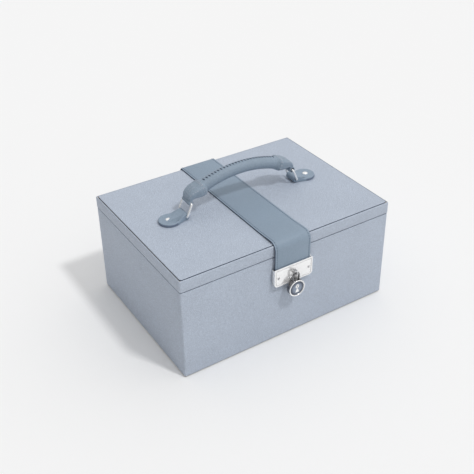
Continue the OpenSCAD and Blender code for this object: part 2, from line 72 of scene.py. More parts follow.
CAMERA_AIM = Vector((0.0125, 0.0, 0.111))
CAMERA_DISTANCE = 0.9563
CAMERA_TURN = math.radians(-33.204)
CAMERA_RISE = math.radians(31.907)
CAMERA_ROLL = math.radians(-0.321)


def make_camera():
    """A camera on a sphere round the aim: turn is its azimuth from the front, rise its height."""
    data = bpy.data.cameras.new("camera")
    data.lens = 60.6
    data.sensor_width = 36
    data.shift_x = -0.0274
    data.shift_y = -0.0570
    data.clip_start = 0.01
    camera = bpy.data.objects.new("camera", data)
    bpy.context.scene.collection.objects.link(camera)
    flat = math.cos(CAMERA_RISE)
    back = Vector((math.sin(CAMERA_TURN) * flat, -math.cos(CAMERA_TURN) * flat, math.sin(CAMERA_RISE)))
    right = Vector((math.cos(CAMERA_TURN), math.sin(CAMERA_TURN), 0))
    up = back.cross(right)
    c, s = math.cos(CAMERA_ROLL), math.sin(CAMERA_ROLL)
    axes = Matrix((c * right + s * up, c * up - s * right, back)).transposed().to_4x4()
    camera.matrix_world = Matrix.Translation(CAMERA_AIM + CAMERA_DISTANCE * back) @ axes
    return camera


bpy.context.scene.camera = make_camera()
print("camera at", [round(v, 3) for v in bpy.context.scene.camera.matrix_world.translation])

# %% [markdown]
# ## Light and floor
# The look is a white sweep under one huge soft light, with one lamp high on the right in front. The
# world is that soft light: brightest overhead and towards the lamp, and dim near the horizon, so it
# fills the shadows without washing them out, and gives polished metal something dark to reflect. A sun
# lamp gives the one soft-edged shadow, and its angle sets how wide the shadow's edge is. A sun doesn't
# fade with distance, so the floor stays one tone to its edges.

# %% Light and floor
SUN_TRAVEL = Vector((-0.26, 0.56, -1.0))
SUN_POWER = 1.0
SKY_BRIGHTEST = Vector((0.38, 0.02, 1.0))
SKY_DIM = 0.21
SKY_BRIGHT = 0.91


def make_light():
    """A sun whose local -Z points along its light's travel."""
    data = bpy.data.lights.new("key", "SUN")
    data.energy = SUN_POWER
    data.angle = math.radians(6)
    lamp = bpy.data.objects.new("key", data)
    lamp.rotation_mode = "QUATERNION"
    lamp.rotation_quaternion = SUN_TRAVEL.to_track_quat("-Z", "Y")
    bpy.context.scene.collection.objects.link(lamp)


def make_world():
    """Brightness by direction: a smooth rise from the far side of the sky to its brightest part."""
    world = bpy.data.worlds.new("room")
    world.use_nodes = True
    nodes, links = world.node_tree.nodes, world.node_tree.links
    direction = nodes.new("ShaderNodeTexCoord")
    facing = nodes.new("ShaderNodeVectorMath")
    facing.operation = "DOT_PRODUCT"
    facing.inputs[1].default_value = SKY_BRIGHTEST.normalized()
    rise = nodes.new("ShaderNodeMapRange")
    rise.interpolation_type = "SMOOTHSTEP"
    rise.inputs["From Min"].default_value = -0.35
    rise.inputs["From Max"].default_value = 1.0
    rise.inputs["To Min"].default_value = SKY_DIM
    rise.inputs["To Max"].default_value = SKY_BRIGHT
    background = nodes["Background"]
    background.inputs["Color"].default_value = (1.0, 1.0, 1.0, 1.0)
    links.new(direction.outputs["Generated"], facing.inputs[0])
    links.new(facing.outputs["Value"], rise.inputs["Value"])
    links.new(rise.outputs["Result"], background.inputs["Strength"])
    bpy.context.scene.world = world


def make_floor():
    """A square sheet of matt white card under the chest."""
    half = 5.0
    mesh = bpy.data.meshes.new("floor")
    corners = [(-half, -half, 0), (half, -half, 0), (half, half, 0), (-half, half, 0)]
    mesh.from_pydata(corners, [], [(0, 1, 2, 3)])
    floor = bpy.data.objects.new("floor", mesh)
    bpy.context.scene.collection.objects.link(floor)
    card = bpy.data.materials.new("white_card")
    card.use_nodes = True
    shader = card.node_tree.nodes["Principled BSDF"]
    shader.inputs["Base Color"].default_value = (0.9, 0.9, 0.9, 1.0)
    shader.inputs["Roughness"].default_value = 1.0
    shader.inputs["Specular IOR Level"].default_value = 0.0
    mesh.materials.append(card)


make_light()
make_world()
make_floor()
bpy.context.scene.view_settings.view_transform = "Standard"

# %% [markdown]
# ## Shader sums
# A finish is a sum of patterns: grain, wear, tint. Nodes can be wired by hand, but sums read better as
# sums. `Value` wraps one socket, and its operators add Math nodes. `Finish` holds one material, and its
# `node` method adds any other node from its type, its settings and its inputs.

# %% Shader sums
class Value:
    """A number that changes over a surface. The operators + - * / and ** write Math nodes."""

    def __init__(self, finish, socket):
        self.finish = finish
        self.socket = socket

    def sum(self, operation, first, second=0.0, third=0.0):
        return self.finish.node("ShaderNodeMath", {"operation": operation}, {0: first, 1: second, 2: third})

    def __add__(self, other):
        return self.sum("ADD", self, other)

    def __sub__(self, other):
        return self.sum("SUBTRACT", self, other)

    def __rsub__(self, other):
        return self.sum("SUBTRACT", other, self)

    def __mul__(self, other):
        return self.sum("MULTIPLY", self, other)

    def __truediv__(self, other):
        return self.sum("DIVIDE", self, other)

    def __pow__(self, other):
        return self.sum("POWER", self, other)

    __radd__ = __add__
    __rmul__ = __mul__

    def ramp(self, low, high):
        """0 below low, 1 above high, with soft ends."""
        settings = {"interpolation_type": "SMOOTHSTEP"}
        inputs = {"Value": self, "From Min": low, "From Max": high}
        return self.finish.node("ShaderNodeMapRange", settings, inputs)


class Finish:
    """One material with a Principled shader."""

    def __init__(self, name, **constants):
        self.material = bpy.data.materials.new(name)
        self.material.use_nodes = True
        self.tree = self.material.node_tree
        self.shader = self.tree.nodes["Principled BSDF"]
        for socket, value in constants.items():
            self.shader.inputs[socket.replace("_", " ")].default_value = value

    def node(self, kind, settings, inputs, out=0):
        made = self.tree.nodes.new(kind)
        for key, value in settings.items():
            setattr(made, key, value)
        for key, value in inputs.items():
            self.feed(made.inputs[key], value)
        return Value(self, made.outputs[out])

    def feed(self, socket, value):
        if isinstance(value, Value):
            self.tree.links.new(value.socket, socket)
        else:
            socket.default_value = value

    def place(self, stretch=(1.0, 1.0, 1.0)):
        """Object coordinates in metres, stretched along each axis."""
        here = self.node("ShaderNodeTexCoord", {}, {}, "Object")
        return self.node("ShaderNodeMapping", {}, {"Vector": here, "Scale": stretch})

    def noise(self, size, detail=3.0, place=None):
        """Cloudy values about 0.5 whose patches are about size metres wide."""
        inputs = {"Vector": place or self.place(), "Scale": 1 / size, "Detail": detail}
        return self.node("ShaderNodeTexNoise", {}, inputs)

    def cells(self, size, feature="DISTANCE_TO_EDGE", place=None):
        """Pebbles about size metres wide."""
        inputs = {"Vector": place or self.place(), "Scale": 1 / size}
        return self.node("ShaderNodeTexVoronoi", {"feature": feature}, inputs)

    def blend(self, amount, first, second):
        """A colour between two colours."""
        settings = {"data_type": "RGBA"}
        inputs = {0: amount, 6: first, 7: second}
        return self.node("ShaderNodeMix", settings, inputs, 2)

    def bump(self, height, depth, strength=1.0):
        """Surface relief: height 0 to 1 stands for depth metres."""
        inputs = {"Height": height, "Distance": depth, "Strength": strength}
        normal = self.node("ShaderNodeBump", {}, inputs)
        self.feed(self.shader.inputs["Normal"], normal)

    def paint(self, socket, value):
        self.feed(self.shader.inputs[socket], value)


def shade(colour, factor):
    """A colour made lighter or darker, as four numbers."""
    return tuple(min(1.0, c * factor) for c in colour[:3]) + (1.0,)


def linear(red, green, blue):
    """A colour given as 0 to 255 on a screen, as the linear numbers that a shader takes."""
    screen = np.array([red, green, blue]) / 255
    light = np.where(screen <= 0.04045, screen / 12.92, ((screen + 0.055) / 1.055) ** 2.4)
    return tuple(light) + (1.0,)


# %% [markdown]
# ## Leathers
# The covering is a fine pebbled leather: rounded grains about a millimetre across with creases between
# them, a satin surface, and a tint that drifts a little over a hide. Cell noise gives the grains, and
# its distance to the cell edge gives the creases. The strap and the handle are a smoother, darker
# leather, where the same recipe is finer and shallower.

# %% Leathers
def leather(name, colour, grain, depth, roughness):
    """Pebble grain of a given size and depth in metres over a slowly drifting tint."""
    finish = Finish(name, Specular_IOR_Level=0.35)
    warp = finish.noise(grain * 2.5, 2.0)
    place = finish.place()
    inputs = {"Vector": place, "Scale": 0.5 / grain, "Detail": 1.0}
    cloud = finish.node("ShaderNodeTexNoise", {}, inputs, 1)
    inputs = {0: cloud, "Scale": grain * 0.8}
    shift = finish.node("ShaderNodeVectorMath", {"operation": "SCALE"}, inputs)
    moved = finish.node("ShaderNodeVectorMath", {"operation": "ADD"}, {0: place, 1: shift})
    pebble = finish.cells(grain, place=moved).ramp(0.0, 0.32)
    pores = finish.noise(grain * 0.35, 2.0)
    drift = finish.noise(0.035, 2.0)
    tone = pebble * 0.55 + warp * 0.25 + drift * 0.2
    finish.paint("Base Color", finish.blend(tone, shade(colour, 0.74), shade(colour, 1.17)))
    finish.paint("Roughness", roughness + 0.12 * (warp - 0.5) - 0.05 * pebble)
    finish.bump(pebble * 0.8 + pores * 0.2, depth)
    return finish.material


COVER_COLOUR = linear(190, 200, 215)
STRAP_COLOUR = linear(144, 161, 178)
HANDLE_COLOUR = linear(146, 162, 178)
cover_leather = leather("cover_leather", COVER_COLOUR, 0.0015, 0.0003, 0.56)
strap_leather = leather("strap_leather", STRAP_COLOUR, 0.0006, 0.00004, 0.50)
handle_leather = leather("handle_leather", HANDLE_COLOUR, 0.0012, 0.00014, 0.48)
print("leathers made")


# %% [markdown]
# The cut edge of a strap is painted dark and burnished, and the same paint also stands as painted shade
# in the lid's crease and in the seam between lid and base. The thread is a twisted cord of the leather's
# own colour, a little darker; the handle's whip thread is much darker, partly as painted shadow of its
# stitches. Both are small, so a soft mottle is enough.

# %% Edge paint with painted shade, and thread
def burnished_paint_and_shade(name, dark, light):
    """Burnished paint that wanders between two tones, for cut edges and for painted shade in creases and seams."""
    finish = Finish(name, Specular_IOR_Level=0.5)
    mottle = finish.noise(0.004, 2.0)
    finish.paint("Base Color", finish.blend(mottle, dark, light))
    finish.paint("Roughness", 0.35 + 0.15 * mottle)
    return finish.material


def thread(name, colour):
    """Thread whose twist is a fine slanting band."""
    finish = Finish(name, Specular_IOR_Level=0.3)
    inputs = {"Vector": finish.place(), "Scale": 900.0}
    twist = finish.node("ShaderNodeTexWave", {"bands_direction": "DIAGONAL"}, inputs)
    finish.paint("Base Color", finish.blend(twist, shade(colour, 0.7), shade(colour, 1.1)))
    finish.paint("Roughness", 0.65 + 0.2 * twist)
    return finish.material


# Real edge paint on the strap's cut edges, and painted shade in the crease round the lid's top panel.
strap_edge_and_crease_shade = burnished_paint_and_shade("burnished_paint_and_shade", linear(40, 52, 74), linear(66, 80, 104))
# Real edge paint on the tabs' sides, and painted shade in the seam between lid and base.
tab_side_and_seam_shade = burnished_paint_and_shade("tab_side_paint_and_seam_shade", linear(96, 108, 128), linear(118, 130, 150))
strap_thread = thread("strap_thread", linear(100, 116, 134))
light_thread = thread("light_thread", linear(182, 190, 202))
# The whip thread's dark tone is partly its own colour and partly painted shadow of the stitches.
whip_thread_and_stitch_shade = thread("whip_thread_and_stitch_shade", linear(58, 70, 90))

# %% [markdown]
# ## Metals
# The plate, rings and rivets are polished and plated. Real polish isn't perfect: fine rubbing marks
# scatter a little light, so the roughness drifts between two low values. The shackle is a darker
# plated steel. The padlock's face is lacquered over a turned disc, so its base stays metallic.

# %% Metals
def metal(name, colour, low, high, metallic=1.0):
    """Polished metal whose roughness wanders between low and high."""
    finish = Finish(name, Metallic=metallic)
    rub = finish.noise(0.006, 4.0)
    streak = finish.noise(0.0012, 2.0, finish.place((1.0, 1.0, 0.15)))
    finish.paint("Base Color", finish.blend(rub, shade(colour, 0.96), shade(colour, 1.03)))
    finish.paint("Roughness", low + (high - low) * (rub * 0.6 + streak * 0.4))
    return finish.material


silver = metal("silver", (0.90, 0.895, 0.885), 0.06, 0.20)
satin_silver = metal("satin_silver", (0.99, 0.99, 0.99), 0.14, 0.24, 0.5)
darker_silver_and_groove_shade = metal("darker_silver_and_groove_shade", (0.50, 0.50, 0.51), 0.35, 0.50)
dark_chrome = metal("dark_chrome", (0.20, 0.20, 0.21), 0.08, 0.20)
plain_steel = metal("plain_steel", (0.42, 0.43, 0.45), 0.25, 0.45)


def lacquered_face(centre_z, radius):
    """Grey-blue lacquer over a turned disc, darkened in the ring next to the rim as painted shade of the recess
    and painted reflection, and paler in the middle.
    """
    finish = Finish("blue_metal", Metallic=0.4, Coat_Weight=0.6, Coat_Roughness=0.06)
    turned_marks = finish.noise(0.0015, 3.0)
    middle = {"Vector": finish.place(), "Location": (0.0, 0.0, -centre_z * MM), "Scale": (1.0, 0.0, 1.0)}
    away = finish.node("ShaderNodeMapping", {}, middle)
    reach = finish.node("ShaderNodeVectorMath", {"operation": "LENGTH"}, {0: away}, 1)
    # The dark ring by the rim is painted shade of the recess and painted reflection.
    ring = (reach / (radius * MM)).ramp(0.45, 0.95)
    pale = finish.blend(turned_marks, linear(120, 132, 150), linear(148, 160, 178))
    finish.paint("Base Color", finish.blend(ring, pale, linear(58, 68, 86)))
    finish.paint("Roughness", 0.25 + 0.15 * turned_marks)
    return finish.material


lock_low, lock_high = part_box("padlock_case")
LOCK_Z = (lock_low[2] + lock_high[2]) / 2 / MM
LOCK_R = (lock_high[0] - lock_low[0]) / 2 / MM
blue_metal = lacquered_face(LOCK_Z, LOCK_R - 1.5)


# %% [markdown]
# ## Linings and boards
# Velvet is dark from above and bright at a glancing angle, because its pile catches light side-on. The
# shader's sheen does that, and a soft nap pattern shows where the pile leans. The inner boards are
# wrapped in smooth leathercloth, and the hidden ones are plain grey board.

# %% Linings and boards
def velvet_cloth():
    finish = Finish("velvet", Specular_IOR_Level=0.1, Sheen_Weight=0.8, Sheen_Roughness=0.35)
    nap = finish.noise(0.012, 3.0)
    pile = finish.noise(0.0005, 1.0)
    finish.paint("Base Color", finish.blend(nap, linear(44, 52, 70), linear(72, 82, 104)))
    finish.paint("Roughness", 0.85 + 0.1 * pile)
    finish.bump(pile, 0.0002)
    return finish.material


def grey_board(name, colour):
    finish = Finish(name, Specular_IOR_Level=0.2)
    fibre = finish.noise(0.002, 4.0, finish.place((0.3, 1.0, 1.0)))
    finish.paint("Base Color", finish.blend(fibre, shade(colour, 0.85), shade(colour, 1.1)))
    finish.paint("Roughness", 0.75 + 0.15 * fibre)
    finish.bump(fibre, 0.0001)
    return finish.material


# The felt's dark grey is partly its own colour and partly painted shade for the thin dark line at the chest's
# foot.
def felt_cloth():
    finish = Finish("felt", Specular_IOR_Level=0.1)
    hair = finish.noise(0.0008, 3.0)
    finish.paint("Base Color", finish.blend(hair, linear(52, 54, 60), linear(84, 88, 96)))
    finish.paint("Roughness", 0.9 + 0.08 * hair)
    finish.bump(hair, 0.0003)
    return finish.material


def silvered_glass():
    finish = Finish("mirror", Metallic=1.0)
    smudge = finish.noise(0.03, 4.0)
    finish.paint("Base Color", finish.blend(smudge, (0.86, 0.90, 0.90, 1.0), (0.92, 0.95, 0.95, 1.0)))
    finish.paint("Roughness", 0.01 + 0.04 * smudge)
    return finish.material


velvet = velvet_cloth()
board = grey_board("board", linear(196, 180, 156))
covered_board = leather("covered_board", linear(150, 160, 176), 0.0007, 0.00005, 0.55)
felt = felt_cloth()
mirror_glass = silvered_glass()

SLOT_FINISH = {
    "felt": felt,
    "board": board,
    "covered_board": covered_board,
    "cover_leather": cover_leather,
    "strap_leather": strap_leather,
    "handle_leather": handle_leather,
    "handle_filling": board,
    "velvet": velvet,
    "mirror": mirror_glass,
    "silver": silver,
    "shackle_metal": dark_chrome,
    "steel": plain_steel,
    "blue_metal": blue_metal,
}
for row in frame["record"]["subparts"]:
    for place in frame["nodes"][row["node"]].material_slots:
        place.material = SLOT_FINISH[row["material_slot"]]
frame["nodes"]["padlock_plug"].material_slots[0].material = silver

# %% [markdown]
# ## Surfaces
# Every new piece is a stack of rings of points. A ring can be a box's outline, a strap's section or a
# circle. `loft` joins neighbouring rings with quads and closes the ends, which makes a closed skin. Its
# signed volume tells whether the faces look outward, and they are turned round when it is negative.

# %% Surfaces
def loft(rings, along=False):
    """Quads between neighbouring rings. Each ring is closed. With along the last ring meets the first,
    as on a wheel, and without it a flat face closes each end."""
    rings = np.asarray(rings, float)
    count, size = rings.shape[:2]
    i = np.arange(count if along else count - 1)[:, None]
    j = np.arange(size)[None, :]
    after, beside = (i + 1) % count, (j + 1) % size
    quads = np.stack([i * size + j, i * size + beside, after * size + beside, after * size + j], -1)
    faces = quads.reshape(-1, 4).tolist()
    if not along:
        faces.append(list(range(size))[::-1])
        faces.append(list(range((count - 1) * size, count * size)))
    return outward(rings.reshape(-1, 3), faces)


def outward(points, faces):
    """The same skin with its faces looking out: six times a skin's volume is the sum of a . (b x c)
    over its triangles, and it is negative when they look in."""
    centred = points - points.mean(0)
    quads = np.array([f for f in faces if len(f) == 4])
    total = 0.0
    for a, b, c in ((0, 1, 2), (0, 2, 3)):
        across = np.cross(centred[quads[:, b]], centred[quads[:, c]])
        total += np.einsum("ij,ij->", centred[quads[:, a]], across)
    for face in (f for f in faces if len(f) > 4):
        fan = centred[face]
        total += np.einsum("ij,ij->", np.tile(fan[0], (len(face) - 2, 1)), np.cross(fan[1:-1], fan[2:]))
    return points, (faces if total > 0 else [f[::-1] for f in faces])


def make(name, skins, material, body=None, stands_for=(), sharp=40):
    """One object from closed skins in millimetres, smooth except where faces meet at more than sharp."""
    points, faces, start = [], [], 0
    for skin_points, skin_faces in skins:
        points.append(skin_points)
        faces += [[v + start for v in f] for f in skin_faces]
        start += len(skin_points)
    mesh = bpy.data.meshes.new(name)
    mesh.from_pydata((np.concatenate(points) * MM).tolist(), [], faces)
    mesh.shade_smooth()
    mesh.set_sharp_from_angle(angle=math.radians(sharp))
    mesh.materials.append(material)
    piece = bpy.data.objects.new(name, mesh)
    bpy.context.scene.collection.objects.link(piece)
    if stands_for:
        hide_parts(*stands_for)
    if body:
        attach(piece, body)
    print(name, len(faces), "faces")
    return piece


def face_centres(obj):
    """The middle of every face, in millimetres."""
    return np.array([tuple(p.center) for p in obj.data.polygons]) / MM


def face_normals(obj):
    """The direction of every face."""
    return np.array([tuple(p.normal) for p in obj.data.polygons])


def paint_faces(piece, material, chosen):
    """A second material on the chosen faces."""
    piece.data.materials.append(material)
    last = len(piece.data.materials) - 1
    index = np.array([p.material_index for p in piece.data.polygons])
    piece.data.polygons.foreach_set("material_index", np.where(chosen, last, index).astype(int))


def box_of(node):
    """A node's lowest and highest corners in millimetres."""
    low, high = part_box(node)
    return np.array(low) / MM, np.array(high) / MM


# %% [markdown]
# ## Covered walls
# Leather pulled over a board rounds every edge a little, and that thin highlight is what tells leather
# from paper. The cover is one wall section carried round the box. The section is a list of steps, each
# an inset from the outside and a height, and the box's outline is drawn once for each step.

# %% Covered walls
CORNER_STEPS = 7
SIDE_STEPS = 6


def outline(half_x, half_y, radius, z, centre=(0.0, 0.0)):
    """A rectangle with round corners at one height: four straight sides and four quarter circles."""
    corner = np.linspace(0, math.pi / 2, CORNER_STEPS)
    rows = []
    for quarter, (sx, sy) in enumerate(((1, 1), (-1, 1), (-1, -1), (1, -1))):
        turn = corner + quarter * math.pi / 2
        x = sx * (half_x - radius) + radius * np.cos(turn)
        y = sy * (half_y - radius) + radius * np.sin(turn)
        rows.append(np.stack([x, y], -1))
    ring = []
    for here, following in zip(rows, rows[1:] + rows[:1]):
        ring.append(here)
        share = np.linspace(0, 1, SIDE_STEPS + 1)[1:-1, None]
        ring.append(here[-1] * (1 - share) + following[0] * share)
    flat = np.concatenate(ring) + np.array(centre)
    return np.column_stack([flat, np.full(len(flat), z)])


def fillet(centre, radius, start, stop, steps=5):
    """Points on an arc of a section, from one angle to another in degrees."""
    turn = np.radians(np.linspace(start, stop, steps))
    return np.stack([centre[0] + radius * np.cos(turn), centre[1] + radius * np.sin(turn)], -1)


def carried(section, half_x, half_y, corner):
    """A closed section of insets and heights carried round a box's outline."""
    rings = [outline(half_x - d, half_y - d, max(corner - d, 0.15), z) for d, z in section]
    return loft(rings, along=True)


def wall_section(bottom, top, skin, lap, edge):
    """The leather's section: up the outside, over the rim by lap, and back along the board."""
    return np.concatenate([
        fillet((edge, bottom + edge), edge, 270, 180),
        fillet((edge, top - edge), edge, 180, 90),
        fillet((lap - 0.3, top - 0.3), 0.3, 90, 0, 3),
        [(lap, top - skin), (skin, top - skin), (skin, bottom)],
    ])


low, high = box_of("base_cover")
base_wall = carried(wall_section(low[2], high[2], 1.0, 6.5, 1.1), high[0], high[1], 1.8)
base_cover = make("base_leather", [base_wall], cover_leather, "base", ["base_cover"])
# The wall's top edge at the seam is painted darker as painted shade in the gap under the lid.
paint_faces(base_cover, tab_side_and_seam_shade, face_centres(base_cover)[:, 2] > high[2] - 0.4)

# %% [markdown]
# The lid has a band round its sides and a separate padded panel on top, sunk a hair inside the band.
# The crease between them is the thin dark line that frames the lid, and painted shade darkens the
# panel's sides in it. The panel is a stack of outlines that climbs out of the crease, rounds over, and
# rises slightly towards the middle.

# %% Lid covers
low, high = box_of("lid_cover_band")
band_bottom = low[2]
band_section = np.concatenate([
    fillet((1.1, low[2] + 1.1), 1.1, 270, 180),
    fillet((1.2, high[2] - 1.2), 1.2, 180, 90),
    [(1.25, high[2] - 0.2), (1.25, low[2] + 1.2), (6.5, low[2] + 1.2), (6.5, low[2] + 0.2), (6.2, low[2])],
])
band = carried(band_section, high[0], high[1], 2.0)
lid_band = make("lid_band", [band], cover_leather, "lid", ["lid_cover_band"])
# The band's bottom edge at the seam is painted darker as painted shade in the gap above the base.
paint_faces(lid_band, tab_side_and_seam_shade, face_centres(lid_band)[:, 2] < low[2] + 0.3)

low, high = box_of("lid_cover_top")
edge = 1.0
panel_steps = np.concatenate([
    [(0.9, low[2] + 0.05), (0.5, low[2] + 0.3)],
    fillet((0.5 + edge, high[2] - edge), edge, 180, 90, 6),
    [(2.2, high[2]), (6.0, high[2]), (20.0, high[2]), (60.0, high[2])],
])
panel = loft([outline(high[0] - d, high[1] - d, max(3.0 - 0.5 * d, 0.4), z) for d, z in panel_steps])
lid_panel = make("lid_panel", [panel], cover_leather, "lid", ["lid_cover_top"])
# The panel's sides down in the crease are painted dark as painted shade.
paint_faces(lid_panel, strap_edge_and_crease_shade, face_centres(lid_panel)[:, 2] < high[2] - 0.55)

# %% [markdown]
# ## The strap
# The strap lies flat on the lid, lifts a little before the front edge, and bends over it in one soft
# curve. It is a flat section with rounded edges carried along a path of straights and arcs. On the real
# one the bend is also the hinge of the clasp.

# %% Strap path
def arc(centre, radius, start, stop, steps):
    """Points in Y and Z on an arc, from one angle to another in degrees."""
    return fillet(centre, radius, start, stop, steps)


def resample(path, step):
    """The same path with points about step apart, measured along it."""
    length = np.concatenate([[0], np.cumsum(np.linalg.norm(np.diff(path, axis=0), axis=1))])
    count = max(2, int(round(length[-1] / step)) + 1)
    even = np.linspace(0, length[-1], count)
    return np.stack([np.interp(even, length, path[:, k]) for k in range(path.shape[1])], -1)


top_high = box_of("strap_top")[1]
tongue_low, tongue_high = box_of("strap_tongue")
STRAP_THICK = tongue_high[1] - tongue_low[1]
LID_TOP = top_high[2] - STRAP_THICK
FRONT_BEND = 8.4
LIFT = 1.1
REAR_BEND = 2.2
mid = STRAP_THICK / 2
front_y = tongue_high[1] - mid
rear_y = top_high[1] - mid
top_z = LID_TOP + mid
share = np.linspace(0, 1, 17)
rise_y = front_y + FRONT_BEND + 26.0 * (1 - share)
rise_z = top_z + LIFT * share * share * (3 - 2 * share)
strap_path = np.concatenate([
    [(rear_y, band_bottom + 2.2)],
    arc((rear_y - REAR_BEND, top_z - REAR_BEND), REAR_BEND, 0, 90, 9),
    np.stack([rise_y, rise_z], -1)[:-1],
    arc((front_y + FRONT_BEND, top_z + LIFT - FRONT_BEND), FRONT_BEND, 90, 180, 15),
    [(front_y, tongue_low[2])],
])
strap_path = resample(strap_path, 1.5)
print("strap is", round(1.5 * (len(strap_path) - 1)), "mm long")


# %% [markdown]
# `sweep` carries a section along a path that lies in an upright plane. At each point the section's
# second axis is square to the path, so the thickness stays even round the bends.

# %% Strap
def flat_section(width, thick, radius, steps=4):
    """A flat strap's section: half-round edges on a rectangle, as pairs of sideways and thickness."""
    w, t = width / 2, thick / 2
    corners = [((w - radius, t - radius), 0), ((-w + radius, t - radius), 90),
               ((-w + radius, -t + radius), 180), ((w - radius, -t + radius), 270)]
    return np.concatenate([fillet(c, radius, a, a + 90, steps) for c, a in corners])


def sweep(path, section, closed=False):
    """Rings of a section along a path in Y and Z. Sideways is X, and thickness is square to the path."""
    run = np.gradient(path, axis=0)
    run /= np.linalg.norm(run, axis=1, keepdims=True)
    rise = np.stack([run[:, 1], -run[:, 0]], -1)
    flat = path[:, None, :] + section[None, :, 1:2] * rise[:, None, :]
    sideways = np.broadcast_to(section[None, :, 0:1], flat.shape[:2] + (1,))
    return np.concatenate([sideways, flat], -1)


strap_half = top_high[0]
section = flat_section(2 * strap_half, STRAP_THICK, 0.7)
strap = make("strap", [loft(sweep(strap_path, section))], strap_leather,
             stands_for=["strap_top", "strap_tongue"])
paint_faces(strap, strap_edge_and_crease_shade, np.abs(face_normals(strap)[:, 0]) > 0.6)
BEND_START = (0.0, (front_y + 3.5) * MM, top_z * MM)
BEND_END = (0.0, front_y * MM, (top_z - 6.5) * MM)
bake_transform(strap)


# %% [markdown]
# Stitches are small raised beads, and a row of them catches light in a way that no drawn line does.
# One bead is a short closed capsule. It is copied to every place by one sum over arrays: the place plus
# the capsule's length along the run, its width across it, and its height away from the leather.

# %% Stitches
def capsule():
    """A bead from rings of a squashed circle: along runs -1 to 1, across and up are -1 to 1."""
    along = np.array([-1.0, -0.75, 0.0, 0.75, 1.0])
    girth = np.array([0.35, 0.85, 1.0, 0.85, 0.35])
    turn = np.linspace(0, 2 * math.pi, 7)[:-1]
    rings = np.stack([np.broadcast_to(along[:, None], (5, 6)),
                      girth[:, None] * np.cos(turn), girth[:, None] * np.sin(turn)], -1)
    return loft(rings)


BEAD_POINTS, BEAD_FACES = capsule()


def beads(places, runs, ups, size):
    """One skin of beads. size is half of the length, width and height in millimetres."""
    runs = runs / np.linalg.norm(runs, axis=1, keepdims=True)
    sides = np.cross(runs, ups)
    sides /= np.linalg.norm(sides, axis=1, keepdims=True)
    ups = np.cross(sides, runs)
    shape = BEAD_POINTS * np.array(size)
    points = (places[:, None] + shape[None, :, 0:1] * runs[:, None] + shape[None, :, 1:2] * sides[:, None]
              + shape[None, :, 2:3] * ups[:, None])
    faces = [[v + k * len(shape) for v in f] for k in range(len(places)) for f in BEAD_FACES]
    return points.reshape(-1, 3), faces


STITCH = 3.0
seam_path = resample(strap_path[3:-8], STITCH)
seam_run = np.gradient(seam_path, axis=0)
seam_out = np.stack([np.zeros(len(seam_path)), seam_run[:, 1], -seam_run[:, 0]], -1)
seam_run = np.column_stack([np.zeros(len(seam_path)), seam_run])
seam_out /= np.linalg.norm(seam_out, axis=1, keepdims=True)
rows = []
for side in (-1, 1):
    places = np.column_stack([np.full(len(seam_path), side * (strap_half - 2.5)), seam_path])
    rows.append(beads(places + seam_out * (mid + 0.02), seam_run, seam_out, (1.1, 0.42, 0.32)))
strap_stitches = make("strap_stitches", rows, strap_thread)
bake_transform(strap_stitches)

# %% [markdown]
# ## Clasp plate
# The plate is a shallow pressed tray with a raised border. Its top is open, and the end of the strap
# tucks in there behind the front, which leaves a thin dark gap. The front is a stack of outlines: round
# the edge, across the border, down a small step, and over the panel. The wall is a U of four points
# carried along the outline from the upper left corner, round the bottom, to the upper right one.

# %% Clasp plate
def plate_outline(inset, y, node_low, node_high, lower=4.5, upper=0.8):
    """An upright outline in X and Z at one depth: small corners above and large ones below."""
    x0, x1 = node_low[0] + inset, node_high[0] - inset
    z0, z1 = node_low[2] + inset, node_high[2] - inset
    big, small = max(lower - inset, 0.4), max(upper - inset, 0.3)
    flat = np.concatenate([
        fillet((x1 - small, z1 - small), small, 0, 90, 6),
        fillet((x0 + small, z1 - small), small, 90, 180, 6),
        fillet((x0 + big, z0 + big), big, 180, 270, 10),
        fillet((x1 - big, z0 + big), big, 270, 360, 10),
    ])
    return np.column_stack([flat[:, 0], np.full(len(flat), y), flat[:, 1]])


low, high = box_of("clasp_plate")
front, back = low[1], high[1]
plate_steps = [(6.0, front + 1.2), (0.4, front + 1.2), (0.0, front + 0.9), (0.0, front + 0.5),
               (0.15, front + 0.15), (0.5, front), (1.5, front), (1.7, front + 0.05), (1.8, front + 0.5),
               (2.4, front + 0.5), (2.5, front + 0.2), (3.0, front + 0.15), (6.0, front + 0.15)]
panel = loft([plate_outline(d, y, low, high) for d, y in plate_steps])
wall_steps = [(0.02, front + 0.9), (0.02, back - 0.2), (0.2, back), (1.0, back), (1.0, front + 0.9)]
around_wall = np.array([plate_outline(d, y, low, high) for d, y in wall_steps])
# Point 11 is the last of the upper left corner, and point 0 is the first of the upper right one.
from_left_to_right = list(range(11, around_wall.shape[1])) + [0]
wall = loft(around_wall[:, from_left_to_right].transpose(1, 0, 2))
clasp_plate = make("clasp_plate_metal", [panel, wall], satin_silver, "tongue", ["clasp_plate"], 30)
deep = face_centres(clasp_plate)[:, 1] - front
flat = np.abs(face_normals(clasp_plate)[:, 1]) > 0.5
# The sunken step inside the border is painted darker silver as painted shade in the groove.
paint_faces(clasp_plate, darker_silver_and_groove_shade, (deep > 0.3) & (deep < 0.55) & flat)


# %% [markdown]
# ## Turned pieces
# Rivets, knobs and the padlock are turned: a profile of radius and height goes round an axis. `turned`
# makes the rings for an axis along X, Y or Z, and the profile runs from one end of the piece to the
# other, so a dome, a rim and a hollow are all only steps in a list.

